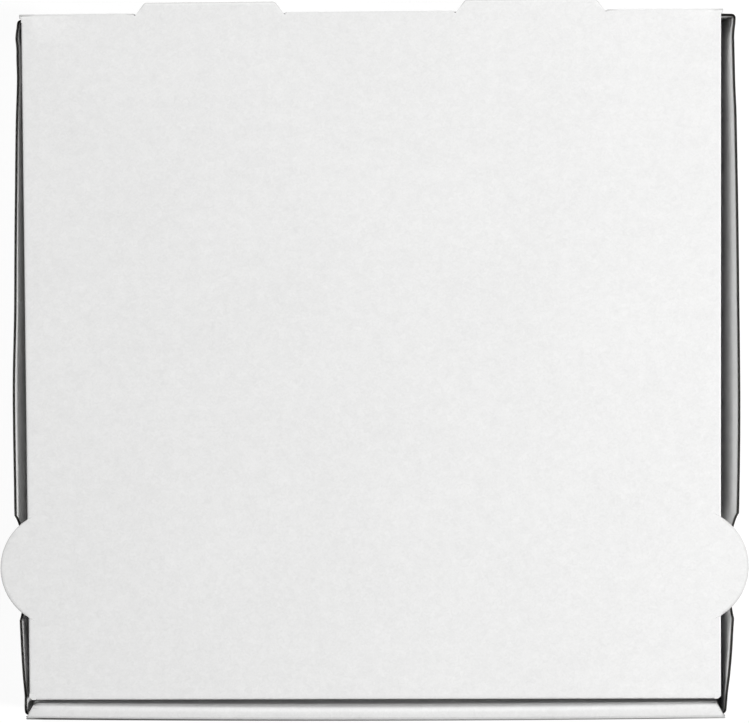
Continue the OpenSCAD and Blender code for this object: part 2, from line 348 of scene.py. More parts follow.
def smoothArcs(bm):
    # A round cut comes in steps, so each step gets points on a curve through its neighbours
    jobs = []
    for e in bm.edges:
        if not e.is_boundary:
            continue
        a, b = e.verts
        before, after = otherBoundaryVert(a, e), otherBoundaryVert(b, e)
        if before is None or after is None:
            continue
        sides = [a.co - before.co, b.co - a.co, after.co - b.co]
        turns = [sides[i].angle(sides[i + 1], 0) for i in (0, 1)]
        least, most = [math.radians(angle) for angle in board["arcTurn"]]
        isStep = board["arcStep"][0] < e.calc_length() < board["arcStep"][1]
        if isStep and max(turns) < most and min(turns) > least:
            ways = [side.normalized() for side in sides]
            tangents = [(ways[i] + ways[i + 1]).normalized() for i in (0, 1)]
            jobs.append((e, a.co.copy(), b.co.copy(), tangents))
    for e, a, b, tangents in jobs:
        chord = b - a
        made = bmesh.ops.subdivide_edges(bm, edges=[e], cuts=board["arcCuts"])
        for v in made["geom_inner"]:
            if isinstance(v, bmesh.types.BMVert):
                s = (v.co - a).dot(chord) / chord.length_squared
                lead = tangents[0] * chord.length * (s ** 3 - 2 * s ** 2 + s)
                trail = tangents[1] * chord.length * (s ** 3 - s ** 2)
                ends = a * (2 * s ** 3 - 3 * s ** 2 + 1) + b * (3 * s ** 2 - 2 * s ** 3)
                v.co = ends + lead + trail


def gridCuts(bm):
    for axis in (0, 1):
        low, high = cadLow[axis], cadHigh[axis]
        count = int((high - low) / board["gridStep"])
        normal = [0, 0, 0]
        normal[axis] = 1
        for i in range(1, count):
            place = [0, 0, 0]
            place[axis] = low + (high - low) * i / count
            everything = bm.verts[:] + bm.edges[:] + bm.faces[:]
            bmesh.ops.bisect_plane(
                bm, geom=everything, dist=board["weld"], plane_co=place, plane_no=normal)


def cutAcross(bm, y, isWanted):
    wall = [f for f in bm.faces if all(isWanted(v.co) for v in f.verts)]
    parts = set(wall)
    for f in wall:
        parts.update(f.edges, f.verts)
    place = (0, y * mm + wallWobble["cutShift"], 0)
    bmesh.ops.bisect_plane(
        bm, geom=list(parts), dist=board["weld"], plane_co=place, plane_no=(0, 1, 0))


def wallCuts(bm):
    # Closer cuts in the side walls, whose top edges wander, and in the rolled strip, which leans
    for y in wallWobble["cutSteps"]:
        cutAcross(bm, y, lambda co: abs(co.x) > wallWobble["from"])
    for y in rollSag["cuts"]:
        cutAcross(bm, y, lambda co: co.y < plan["rollInY"] and co.z > rollSag["cutsAbove"])


def bandPoints(face, tree):
    # Support points inside a face, beside its folds and cut edges
    normal = face.normal
    edges = [(l.vert.co, l.link_loop_next.vert.co, isFoldOrCut(l.edge)) for l in face.loops]
    found = []
    for a, b, wanted in edges:
        if not wanted:
            continue
        along = b - a
        inward = normal.cross(along).normalized()
        count = max(1, math.ceil(along.length / board["bandStep"]))
        for i in range(2 * count + 1):
            for width in board["bands"]:
                found.append((a + along * i / (2 * count) + inward * width, width))
    kept = []
    for point, width in found:
        if not isInFace(face, point):
            continue
        clear = True
        for a, b, wanted in edges:
            share = intersect_point_line(point, a, b)[1]
            close = a + (b - a) * min(max(share, 0), 1)
            limit = width * board["bandSlack"] if wanted else board["plainGap"]
            if (close - point).length < limit:
                clear = False
                break
        if clear and all((point - other).length > board["bandGap"] for other in kept):
            kept.append(point)
    return [tree.find_nearest(point)[0] for point in kept]


def isInFace(face, point):
    # Even-odd test in the face's plane
    axis = max(range(3), key=lambda i: abs(face.normal[i]))
    u, v = [i for i in range(3) if i != axis]
    inside = False
    corners = [c.co for c in face.verts]
    for a, b in zip(corners, corners[1:] + corners[:1]):
        if (a[v] > point[v]) != (b[v] > point[v]):
            if point[u] < a[u] + (b[u] - a[u]) * (point[v] - a[v]) / (b[v] - a[v]):
                inside = not inside
    return inside


def isFoldOrCut(edge):
    return edge.is_boundary or edge.calc_face_angle(0) > math.radians(board["foldAngle"])


def splitCrossEdges(bm):
    # An edge that leaves a fold or a cut edge gets the support points too
    marked = {v for e in bm.edges if isFoldOrCut(e) for v in e.verts}
    for e in [e for e in bm.edges if not isFoldOrCut(e)]:
        for vert in list(e.verts):
            if vert not in marked:
                continue
            done = 0.0
            for width in board["bands"]:
                length = e.calc_length()
                if length < 2 * (width - done) + board["shortRest"]:
                    break
                # the stretch that is left to split is the one away from the marked end
                other = e.other_vert(vert)
                made, fresh = bmesh.utils.edge_split(e, vert, (width - done) / length)
                e = next(x for x in (e, made) if other in x.verts and fresh in x.verts)
                vert = fresh
                done = width


def addBands(bm, tree):
    jobs = []
    for face in bm.faces:
        if face.calc_area() > board["smallFace"] and any(isFoldOrCut(e) for e in face.edges):
            points = bandPoints(face, tree)
            if points:
                jobs.append((face, points))
    for face, points in jobs:
        across = face.edges[0].verts[1].co - face.edges[0].verts[0].co
        across = (across - face.normal * across.dot(face.normal)).normalized()
        up = face.normal.cross(across)
        origin = face.verts[0].co.copy()
        corners = list(face.verts)
        coords = []
        for co in [v.co for v in corners] + points:
            coords.append(Vector(((co - origin).dot(across), (co - origin).dot(up))) * 1000)   # in mm
        ring = list(range(len(corners)))
        loops = list(zip(ring, ring[1:] + ring[:1]))
        made, _, triangles, origins, _, _ = delaunay_2d_cdt(coords, loops, [ring], 1, 1e-6)
        verts = []
        for co, came in zip(made, origins):
            if came and came[0] < len(corners):
                verts.append(corners[came[0]])
            elif came:
                verts.append(bm.verts.new(points[came[0] - len(corners)]))
            else:
                verts.append(None)
        if any(v is None for v in verts) or len({id(v) for v in verts}) < len(coords):
            continue
        bm.faces.remove(face)
        for triangle in triangles:
            bm.faces.new([verts[i] for i in triangle])


def linerSheets(node):
    bm = cadSolid(node)
    tree = BVHTree.FromBMesh(bm)
    bmesh.ops.delete(bm, geom=cutEdges(bm), context="FACES")
    bmesh.ops.dissolve_limit(bm, angle_limit=math.radians(0.3), verts=bm.verts, edges=bm.edges)
    smoothArcs(bm)
    gridCuts(bm)
    if node == "tray":
        wallCuts(bm)
    bm.normal_update()
    splitCrossEdges(bm)
    bm.normal_update()
    addBands(bm, tree)
    bm.normal_update()
    fold = bm.verts.layers.float.new("fold")
    cutAndShade = bm.verts.layers.float.new("cutEdgeAndShade")
    creaseShade = bm.verts.layers.float.new("creaseShade")
    inside = bm.faces.layers.float.new("inside")
    middle = Vector((0, 0, (cadLow.z + cadHigh.z) / 2))
    for e in bm.edges:
        if len(e.link_faces) == 2 and isFoldOrCut(e):
            for v in e.verts:
                v[fold] = 1
    for f in bm.faces:
        f[inside] = 1.0 if f.normal.dot(middle - f.calc_center_median()) > 0 else 0.0
    moves = []
    for v in bm.verts:
        move = Vector((0, 0, 0))
        isOutside = sum(f[inside] for f in v.link_faces) == 0
        if v[fold] and isOutside:
            power = creases[node]
            if node == "tray" and v.co.z > plan["frontTop"] / 2:
                power = creases["frontEdge"]
            move += v.normal * squarer(v.normal, power) * board["foldRadius"]
        # painted shade on the rolled front's outer fold
        if node == "tray" and isOutside:
            v[creaseShade] = creaseShadeAt(v.co)
        # die-cut edges get a darker tone: partly the cut board's own colour, partly painted shade of
        # the pinched rim
        if v.is_boundary and not isOnPanel(node, v.co):
            v[cutAndShade] = 1
            move -= v.normal * board["pinch"]
        # the right ear's rim: a wider band of painted shade, fading in over the rim's width
        elif node == "lid" and v.co.x > lidEdge(v.co.y) + ears["rimShadeFrom"]:
            centre = Vector((lidEdge(ears["y"]) - ears["inset"], ears["y"]))
            past = (v.co.xy - centre).length - ears["radius"]
            v[cutAndShade] = min(max(past / ears["rimShadeWidth"] + 1, 0), 1)
        moves.append(move)
    lowest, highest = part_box(node)
    for v, move in zip(bm.verts, moves):
        isEnd = v.is_boundary and isOnPanel(node, v.co)
        v.co = [min(max(c, a), b) for c, a, b in zip(v.co + move, lowest, highest)]
        if isEnd:
            v.co = closedSlit(v.co)
    return bm


def plainMesh(obj):
    bpy.context.view_layer.update()
    finished = obj.evaluated_get(bpy.context.evaluated_depsgraph_get())
    made = bpy.data.meshes.new_from_object(finished)
    made.name = obj.name
    old = obj.data
    obj.modifiers.clear()
    obj.data = made
    bpy.data.meshes.remove(old)
    return obj


def newObject(name, data):
    obj = bpy.data.objects.new(name, data)
    scene.collection.objects.link(obj)
    return obj


def makeLiners(name, node, paper, back):
    bm = linerSheets(node)
    if node == "tray":
        for v in bm.verts:
            v.co = bent(v.co)
    mesh = bpy.data.meshes.new(name)
    bm.to_mesh(mesh)
    bm.free()
    mesh.materials.append(paper)
    mesh.materials.append(back)
    obj = newObject(name, mesh)
    wall = obj.modifiers.new("paper", "SOLIDIFY")
    wall.thickness = board["liner"]
    wall.offset = -1
    wall.use_even_offset = False
    wall.material_offset = 1
    wall.material_offset_rim = 1
    plainMesh(obj)
    obj.data.shade_smooth()
    obj.data.set_sharp_from_angle(angle=math.radians(board["sharpAngle"]))
    print(name, len(obj.data.polygons), "faces")
    return obj


def boardSpans(tree, start, direction, reach):
    spans, at, entry = [], 0.0, None
    while at < reach:
        hit, normal, _, distance = tree.ray_cast(start + direction * at, direction, reach - at)
        if hit is None:
            break
        at += distance
        if normal.dot(direction) < 0:
            entry = at if entry is None else entry
        elif entry is not None:
            spans.append((entry, at))
            entry = None
        at += flutes["weld"]
    return spans


def boardMiddle(tree, start, direction):
    entry, leave = boardSpans(tree, start, direction, flutes["reach"])[0]
    return start + direction * (entry + leave) / 2


def steps(low, high):
    size = flutes["pitch"] / flutes["stepsPerWave"]
    return np.arange(math.ceil(low / size), math.floor(high / size) + 1) * size


xAxis, yAxis, zAxis = Vector((1, 0, 0)), Vector((0, 1, 0)), Vector((0, 0, 1))

# Places where lines through the board start, outside the box
outside = {
    "left": -170 * mm,
    "wide": 200 * mm,
}

# First and last place of the flutes' steps in each panel
trayFlutes = {
    "floorGap": 1.5 * mm,       # from the middle of the wall
    "frontOuter": (2.6 * mm, 39.9 * mm),
    "stripGap": 1.4 * mm,
    "frontInner": (0.2 * mm, 40.0 * mm),
    "rear": (2.6 * mm, 42.1 * mm),
    "wall": (-150.1 * mm, 150.1 * mm),
    "wallStart": 16 * mm,
    "leanAt": (6 * mm, 24 * mm),    # heights that give a side wall's lean
    "flapFrom": {"Rear": 113 * mm, "Front": 98 * mm},
    "flapTo": 150.3 * mm,
    "flapStart": -10 * mm,
}


# A row is the place along the wave, the start and direction of a line through the middle
# of the board, and the way that the wave lifts
def trayRows(tree):
    far, half = outside["left"], plan["half"]
    front, rear = half - plan["halfDepth"], plan["halfDepth"] - half
    inner, strip = plan["rollInY"] - half, plan["frontTop"] - half
    floorGap, stripGap = trayFlutes["floorGap"], trayFlutes["stripGap"]
    rows = {
        "floor": [
            (y, Vector((far, y, half)), xAxis, zAxis)
            for y in steps(front + floorGap, rear - floorGap)],
        "frontOuter": [
            (z, Vector((far, front, z)), xAxis, -yAxis)
            for z in steps(*trayFlutes["frontOuter"])],
        "frontTop": [
            (y, Vector((far, y, strip)), xAxis, zAxis)
            for y in steps(front + stripGap, inner - stripGap)],
        "frontInner": [
            (z, Vector((far, inner, z)), xAxis, yAxis)
            for z in steps(*trayFlutes["frontInner"])],
        "rear": [
            (z, Vector((far, rear, z)), xAxis, yAxis)
            for z in steps(*trayFlutes["rear"])],
    }
    for side, word in ((1, "right"), (-1, "left")):
        wall = []
        for y in steps(*trayFlutes["wall"]):
            low, high = [
                boardMiddle(tree, Vector((side * outside["wide"], y, z)), xAxis * -side)
                for z in trayFlutes["leanAt"]]
            up = (high - low).normalized()
            wall.append((y, low - up * trayFlutes["wallStart"], up, xAxis * side))
        rows[word + "Wall"] = wall
        flapY = plan["cornerY"] - half
        for end, y in (("Rear", flapY), ("Front", -flapY)):
            rows[word + end + "Flap"] = [
                (side * x, Vector((side * x, y, trayFlutes["flapStart"])), zAxis, yAxis)
                for x in steps(trayFlutes["flapFrom"][end], trayFlutes["flapTo"])]
    return rows


lidFlutes = {
    "frontGap": 2.3 * mm,       # from the lid's front edge
    "rear": 158.8 * mm,
    "leanAt": (34 * mm, 14 * mm),   # heights that give a flap's lean
    "along": 0.1,
    "flap": (-140 * mm, 150 * mm),
    "flapStart": 30 * mm,
    "tuck": (27 * mm, 59.6 * mm),
}


def lidRows(tree):
    far, flat = outside["left"], plan["lidTop"] - plan["half"]
    upper, lower = lidFlutes["leanAt"]
    rows = {
        "top": [
            (y, Vector((far, y, flat)), xAxis, zAxis)
            for y in steps(plan["lidFrontY"] + lidFlutes["frontGap"], lidFlutes["rear"])],
    }
    for side, word in ((1, "right"), (-1, "left")):
        high, low, rear = [
            boardMiddle(tree, Vector((side * outside["wide"], y, z)), xAxis * -side)
            for y, z in ((0, upper), (0, lower), (lidFlutes["along"], upper))]
        down, along = (low - high).normalized(), (rear - high) / lidFlutes["along"]
        rows[word + "Flap"] = [
            (y, high + along * y - down * lidFlutes["flapStart"], down, xAxis * side)
            for y in steps(*lidFlutes["flap"])]
    high, low = [
        boardMiddle(tree, Vector((0, -outside["wide"], z)), yAxis) for z in (upper, lower)]
    down = (low - high).normalized()
    rows["tuck"] = [
        (s, high + down * (s - upper) + xAxis * far, xAxis, -yAxis)
        for s in steps(*lidFlutes["tuck"])]
    return rows


foldZones = {
    "wallBelow": 4 * mm,
    "lidHalf": 151.3 * mm,
    "lidGap": 2.9 * mm,         # from the lid's front edge and the hinge
    "flapAbove": 40.5 * mm,
}


def isFold(node, name, point):
    # A line that ends here runs into a fold and not to a cut edge
    if name == "floor":
        return True
    if name.endswith("Wall"):
        return point.z < foldZones["wallBelow"]
    if name == "top":
        gap = foldZones["lidGap"]
        isBetween = plan["lidFrontY"] + gap < point.y < hinge["axisY"] - gap
        return abs(point.x) < foldZones["lidHalf"] and isBetween
    if node == "lid" and name.endswith("Flap"):
        return point.z > foldZones["flapAbove"]
    return False


def fluteSheet(name, node):
    bm = cadSolid(node)
    tree = BVHTree.FromBMesh(bm)
    bm.free()
    allRows = trayRows(tree) if node == "tray" else lidRows(tree)
    points, faces, runs, crushes, lifts = [], [], [], [], []
    for panel, rows in allRows.items():
        last = []
        for run, start, direction, lift in rows:
            here = []
            for entry, leave in boardSpans(tree, start, direction, flutes["reach"]):
                if leave - entry < flutes["shortest"]:
                    continue
                ends = []
                for at, turn in ((entry, 1), (leave, -1)):
                    folded = isFold(node, panel, start + direction * at)
                    inset = flutes["foldInset"] if folded else flutes["edgeInset"]
                    ends.append((at + turn * inset, 1.0 if folded else flutes["crush"]))
                (low, lowCrush), (high, highCrush) = ends
                if high - low < flutes["edgeInset"]:
                    continue
                soft = min(flutes["crushLength"], (high - low) / 3)
                first = len(points)
                full = flutes["bowed"] if panel.endswith("Wall") else 1.0
                full = flutes["rolled"] if panel == "frontTop" else full
                isFront = panel.startswith("front")
                count = math.ceil((high - low) / flutes["bowStep"]) if isFront else 1
                inner = np.linspace(low + soft, high - soft, count + 1)
                for at in (low, *inner, high):
                    points.append(start + direction * float(at))
                    runs.append(run)
                    crushes.append(min(full, {low: lowCrush, high: highCrush}.get(at, 1.0)))
                    lifts.append(lift)
                here.append((low, high, first, count + 2))
            for low, high, first, count in here:
                for lowB, highB, firstB, countB in last:
                    shared = min(high, highB) - max(low, lowB)
                    least = flutes["shared"] * max(high - low, highB - lowB)
                    if shared > least and count == countB:
                        side = direction.cross(start - lastStart).dot(lift)
                        for k in range(count):
                            ring = (firstB + k, firstB + k + 1, first + k + 1, first + k)
                            faces.append(ring if side > 0 else ring[::-1])
            last, lastStart = here, start
    if node == "tray":
        points = [bent(p) for p in points]
    mesh = bpy.data.meshes.new(name)
    mesh.from_pydata(points, [], faces)
    for key, values in (("run", runs), ("crush", crushes)):
        layer = mesh.attributes.new(key, "FLOAT", "POINT")
        layer.data.foreach_set("value", np.array(values, np.float32))
    lift = mesh.attributes.new("lift", "FLOAT_VECTOR", "POINT")
    lift.data.foreach_set("vector", np.array(lifts, np.float32).ravel())
    return newObject(name, mesh)


def fluteTree():
    tree = bpy.data.node_groups.new("fluteWave", "GeometryNodeTree")
    face = tree.interface
    face.new_socket("Geometry", in_out="INPUT", socket_type="NodeSocketGeometry")
    for word in ("Pitch", "Height", "Sheet"):
        face.new_socket(word, in_out="INPUT", socket_type="NodeSocketFloat")
    face.new_socket("Paper", in_out="INPUT", socket_type="NodeSocketMaterial")
    face.new_socket("Geometry", in_out="OUTPUT", socket_type="NodeSocketGeometry")
    nodes, links = tree.nodes, tree.links

    def add(kind, **settings):
        node = nodes.new(kind)
        for key, value in settings.items():
            setattr(node, key, value)
        return node

    def calc(operation, a, b=None):
        node = add("ShaderNodeMath", operation=operation)
        for socket, value in zip(node.inputs, (a, b)):
            if isinstance(value, (int, float)):
                socket.default_value = value
            elif value is not None:
                links.new(value, socket)
        return node.outputs[0]

    given = add("NodeGroupInput")
    result = add("NodeGroupOutput")
    run = add("GeometryNodeInputNamedAttribute", data_type="FLOAT")
    run.inputs["Name"].default_value = "run"
    crush = add("GeometryNodeInputNamedAttribute", data_type="FLOAT")
    crush.inputs["Name"].default_value = "crush"
    lift = add("GeometryNodeInputNamedAttribute", data_type="FLOAT_VECTOR")
    lift.inputs["Name"].default_value = "lift"

    waves = calc("DIVIDE", run.outputs["Attribute"], given.outputs["Pitch"])
    sine = calc("SINE", calc("MULTIPLY", waves, 2 * math.pi))
    wave = calc("MULTIPLY", sine, calc("MULTIPLY", given.outputs["Height"], 0.5))
    middle = calc("MULTIPLY", wave, crush.outputs["Attribute"])
    under = calc("SUBTRACT", middle, calc("MULTIPLY", given.outputs["Sheet"], 0.5))
    offset = add("ShaderNodeVectorMath", operation="SCALE")
    links.new(lift.outputs["Attribute"], offset.inputs[0])
    links.new(under, offset.inputs["Scale"])
    move = add("GeometryNodeSetPosition")
    links.new(given.outputs["Geometry"], move.inputs["Geometry"])
    links.new(offset.outputs["Vector"], move.inputs["Offset"])

    grow = add("GeometryNodeExtrudeMesh", mode="FACES")
    grow.inputs["Individual"].default_value = False
    links.new(move.outputs["Geometry"], grow.inputs["Mesh"])
    links.new(lift.outputs["Attribute"], grow.inputs["Offset"])
    links.new(given.outputs["Sheet"], grow.inputs["Offset Scale"])
    back = add("GeometryNodeFlipFaces")
    links.new(move.outputs["Geometry"], back.inputs["Mesh"])
    join = add("GeometryNodeJoinGeometry")
    links.new(grow.outputs["Mesh"], join.inputs["Geometry"])
    links.new(back.outputs["Mesh"], join.inputs["Geometry"])
    merge = add("GeometryNodeMergeByDistance")
    merge.inputs["Distance"].default_value = flutes["weld"]
    links.new(join.outputs["Geometry"], merge.inputs["Geometry"])
    real = add("GeometryNodeRealizeInstances")
    links.new(merge.outputs["Geometry"], real.inputs["Geometry"])
    paint = add("GeometryNodeSetMaterial")
    links.new(real.outputs["Geometry"], paint.inputs["Geometry"])
    links.new(given.outputs["Paper"], paint.inputs["Material"])
    links.new(paint.outputs["Geometry"], result.inputs["Geometry"])
    return tree


def makeFlutes(name, node, tree, paper):
    obj = fluteSheet(name, node)
    wave = obj.modifiers.new("wave", "NODES")
    wave.node_group = tree
    values = {
        "Pitch": flutes["pitch"],
        "Height": flutes["height"],
        "Sheet": flutes["sheet"],
        "Paper": paper,
    }
    for socket in tree.interface.items_tree:
        if socket.item_type == "SOCKET" and socket.in_out == "INPUT" and socket.name in values:
            wave[socket.identifier] = values[socket.name]
    plainMesh(obj)
    obj.data.shade_smooth()
    obj.data.set_sharp_from_angle(angle=math.radians(flutes["sharpAngle"]))
    print(name, len(obj.data.polygons), "faces")
    return obj


# Paper of the outside liner, which carries on from the rear wall into the lid
hingePaper = {
    "spans": [(-152.4, -102.6), (-36.8, 36.8), (102.6, 152.4)],   # mm, broken at the vent tabs
    "columns": 6,
    "proud": 0.04 * mm,
    "lowest": 39.6 * mm,
    "lowSunk": 0.02 * mm,       # both ends lie just inside the board
    "topSunk": 0.01 * mm,
    "heights": (40.4 * mm, 41.4 * mm, 42.2 * mm, 42.6 * mm, 42.95 * mm),
    "roundSteps": 8,
    "lastTurn": 78,
    "thickness": 0.03 * mm,
}


def makeHingePaper(name, paper):
    proud, rearY = hingePaper["proud"], hinge["rearY"]
    radius = rearY - hinge["axisY"]
    profile = [(rearY - hingePaper["lowSunk"], hingePaper["lowest"])]
    profile += [(rearY + proud, z) for z in hingePaper["heights"]]
    for i in range(hingePaper["roundSteps"] + 1):
        share = i / hingePaper["roundSteps"]
        angle = math.radians(hingePaper["lastTurn"] * share)
        r = radius + proud * (1 - share) - hingePaper["topSunk"] * share
        profile.append((hinge["axisY"] + r * math.cos(angle), hinge["axisZ"] + r * math.sin(angle)))
    bm = bmesh.new()
    for left, right in hingePaper["spans"]:
        columns = []
        for i in range(hingePaper["columns"] + 1):
            x = (left + (right - left) * i / hingePaper["columns"]) * mm
            columns.append([bm.verts.new((x, y, z)) for y, z in profile])
        for a, b in zip(columns, columns[1:]):
            for k in range(len(profile) - 1):
                bm.faces.new((a[k], a[k + 1], b[k + 1], b[k]))
    bmesh.ops.recalc_face_normals(bm, faces=bm.faces[:])
    bm.faces.ensure_lookup_table()
    if bm.faces[2].normal.y < 0:
        bmesh.ops.reverse_faces(bm, faces=bm.faces[:])
    mesh = bpy.data.meshes.new(name)
    bm.to_mesh(mesh)
    bm.free()
    mesh.materials.append(paper)
    obj = newObject(name, mesh)
    wall = obj.modifiers.new("paper", "SOLIDIFY")
    wall.thickness = hingePaper["thickness"]
    wall.offset = -1
    plainMesh(obj)
    obj.data.shade_smooth()
    print(name, len(obj.data.polygons), "faces")
    return obj


# Mottle is how far each kind of spot in the pulp lightens and darkens the paper
paperFinish = {
    "trayTone": (0.825, 0.825, 0.822, 1),
    "lidTone": (0.835, 0.835, 0.832, 1),
    "foldTone": (0.81, 0.81, 0.807, 1),
    # darker at die-cut edges: partly the cut board's own colour, partly painted shade
    "cutAndShadeTone": (0.5, 0.497, 0.49, 1),
    # painted shade along the rolled front's outer fold
    "creaseShadeTone": (0.09, 0.089, 0.087, 1),
    "speckTone": (0.45, 0.43, 0.4, 1),
    "foldShare": 0.35,
    "cutAndShadeShare": 0.75,
    "cutAndShadeFrom": 0.15,
    "speckTint": 0.12,
    "cloudScale": 160,
    "fibreScale": 560,
    "speckShare": 0.018,
    "washMottle": 0.01,
    "cloudMottle": 0.021,
    "fibreMottle": 0.052,
    "roughness": (0.56, 0.7),
    "specular": 0.35,
    "bump": 0.35,
    "bumpDepth": 0.02 * mm,
}

coreFinish = {
    "light": (0.15, 0.146, 0.138, 1),
    "dark": (0.05, 0.048, 0.045, 1),
    "cloudScale": 260,
    "fibreScale": 1400,
    "speckShare": 0.05,
    "roughness": (0.75, 0.95),
    "specular": 0.2,
    "bump": 0.4,
    "bumpDepth": 0.03 * mm,
}


def connect(tree, source, target):
    tree.links.new(source, target)


def addNode(tree, kind, place, **settings):
    node = tree.nodes.new(kind)
    node.location = place
    for key, value in settings.items():
        setattr(node, key, value)
    return node


def fibreGroup():
    # Cloudy formation of the pulp, short fibres and a few specks
    tree = bpy.data.node_groups.new("paperFibre", "ShaderNodeTree")
    face = tree.interface
    face.new_socket("Vector", in_out="INPUT", socket_type="NodeSocketVector")
    usual = {"Wash Scale": 20.0, "Cloud Scale": 90.0, "Fibre Scale": 620.0, "Speck Share": 0.02}
    for word, value in usual.items():
        socket = face.new_socket(word, in_out="INPUT", socket_type="NodeSocketFloat")
        socket.default_value = value
    for word in ("Wash", "Cloud", "Fibre", "Speck", "Height"):
        face.new_socket(word, in_out="OUTPUT", socket_type="NodeSocketFloat")
    given = addNode(tree, "NodeGroupInput", (-700, 0))
    result = addNode(tree, "NodeGroupOutput", (500, 0))
    wash = addNode(tree, "ShaderNodeTexNoise", (-400, 600))
    wash.inputs["Detail"].default_value = 1
    cloud = addNode(tree, "ShaderNodeTexNoise", (-400, 300))
    cloud.inputs["Detail"].default_value = 3
    cloud.inputs["Roughness"].default_value = 0.55
    fibre = addNode(tree, "ShaderNodeTexNoise", (-400, 0))
    fibre.inputs["Detail"].default_value = 2
    fibre.inputs["Roughness"].default_value = 0.6
    fibre.inputs["Distortion"].default_value = 1.2
    speck = addNode(tree, "ShaderNodeTexVoronoi", (-400, -300))
    speck.inputs["Scale"].default_value = 150
    for node, scale in ((wash, "Wash Scale"), (cloud, "Cloud Scale"), (fibre, "Fibre Scale")):
        connect(tree, given.outputs["Vector"], node.inputs["Vector"])
        connect(tree, given.outputs[scale], node.inputs["Scale"])
    connect(tree, given.outputs["Vector"], speck.inputs["Vector"])
    near = addNode(tree, "ShaderNodeMath", (-150, -300), operation="LESS_THAN")
    connect(tree, speck.outputs["Distance"], near.inputs[0])
    connect(tree, given.outputs["Speck Share"], near.inputs[1])
    blend = addNode(tree, "ShaderNodeMath", (-150, 100), operation="MULTIPLY_ADD")
    connect(tree, cloud.outputs["Fac"], blend.inputs[0])
    blend.inputs[1].default_value = 0.4
    connect(tree, fibre.outputs["Fac"], blend.inputs[2])
    connect(tree, wash.outputs["Fac"], result.inputs["Wash"])
    connect(tree, cloud.outputs["Fac"], result.inputs["Cloud"])
    connect(tree, fibre.outputs["Fac"], result.inputs["Fibre"])
    connect(tree, near.outputs[0], result.inputs["Speck"])
    connect(tree, blend.outputs[0], result.inputs["Height"])
    return tree


def mixColour(tree, place, blend, factor, a, b):
    node = addNode(tree, "ShaderNodeMix", place, data_type="RGBA", blend_type=blend)
    for socket, value in ((node.inputs[0], factor), (node.inputs[6], a), (node.inputs[7], b)):
        if isinstance(value, (int, float, tuple)):
            socket.default_value = value
        else:
            connect(tree, value, socket)
    return node.outputs[2]


def remap(tree, place, value, low, high, start=0.0, end=1.0):
    node = addNode(tree, "ShaderNodeMapRange", place)
    connect(tree, value, node.inputs["Value"])
    for word, number in (("From Min", start), ("From Max", end), ("To Min", low), ("To Max", high)):
        node.inputs[word].default_value = number
    return node.outputs["Result"]


def multiply(tree, place, a, b):
    node = addNode(tree, "ShaderNodeMath", place, operation="MULTIPLY")
    connect(tree, a, node.inputs[0])
    connect(tree, b, node.inputs[1])
    return node.outputs[0]


def startPaper(name, group, finish):
    # Fibres and bump, which both kinds of paper have
    material = bpy.data.materials.new(name)
    material.use_nodes = True
    tree = material.node_tree
    shader = tree.nodes["Principled BSDF"]
    where = addNode(tree, "ShaderNodeTexCoord", (-1300, 0))
    fibre = addNode(tree, "ShaderNodeGroup", (-1100, 0), node_tree=group)
    connect(tree, where.outputs["Object"], fibre.inputs["Vector"])
    fibre.inputs["Cloud Scale"].default_value = finish["cloudScale"]
    fibre.inputs["Fibre Scale"].default_value = finish["fibreScale"]
    fibre.inputs["Speck Share"].default_value = finish["speckShare"]
    shader.inputs["Specular IOR Level"].default_value = finish["specular"]
    bump = addNode(tree, "ShaderNodeBump", (80, -350))
    bump.inputs["Strength"].default_value = finish["bump"]
    bump.inputs["Distance"].default_value = finish["bumpDepth"]
    connect(tree, fibre.outputs["Height"], bump.inputs["Height"])
    connect(tree, bump.outputs["Normal"], shader.inputs["Normal"])
    return material, tree, shader, fibre


def boardPaper(name, group, tone):
    finish = paperFinish
    material, tree, shader, fibre = startPaper(name, group, finish)
    masks = {}
    for i, word in enumerate(("cutEdgeAndShade", "fold", "creaseShade")):
        mask = addNode(tree, "ShaderNodeAttribute", (-1100, -400 - 200 * i), attribute_name=word)
        masks[word] = mask.outputs["Fac"]

    def mottle(y, word, depth, start, end):
        return remap(tree, (-850, y), fibre.outputs[word], 1 - depth, 1 + depth, start, end)

    cloud = mottle(250, "Cloud", finish["cloudMottle"], 0.25, 0.75)
    grain = mottle(0, "Fibre", finish["fibreMottle"], 0.2, 0.8)
    wash = mottle(500, "Wash", finish["washMottle"], 0.25, 0.75)
    uneven = multiply(tree, (-550, 350), wash, multiply(tree, (-650, 150), cloud, grain))
    white = mixColour(tree, (-450, 150), "MULTIPLY", 1.0, tone, uneven)
    share = remap(tree, (-450, -150), masks["fold"], 0.0, finish["foldShare"])
    worn = mixColour(tree, (-250, 100), "MIX", share, white, finish["foldTone"])
    # die-cut edges: partly the cut board's own colour, partly painted shade of the pinched rim
    share = remap(tree, (-450, -400), masks["cutEdgeAndShade"], 0.0, finish["cutAndShadeShare"], finish["cutAndShadeFrom"])
    cutAndShaded = mixColour(tree, (-80, 50), "MIX", share, worn, finish["cutAndShadeTone"])
    # painted shade along the rolled front's outer fold
    share = remap(tree, (-450, -800), masks["creaseShade"], 0.0, 1.0)
    creaseShaded = mixColour(tree, (0, 150), "MIX", share, cutAndShaded, finish["creaseShadeTone"])
    share = remap(tree, (-450, -650), fibre.outputs["Speck"], 0.0, finish["speckTint"])
    specked = mixColour(tree, (80, 0), "MIX", share, creaseShaded, finish["speckTone"])
    connect(tree, specked, shader.inputs["Base Color"])
    rough = remap(tree, (-250, -300), fibre.outputs["Fibre"], *finish["roughness"], 0.2, 0.8)
    connect(tree, rough, shader.inputs["Roughness"])
    return material


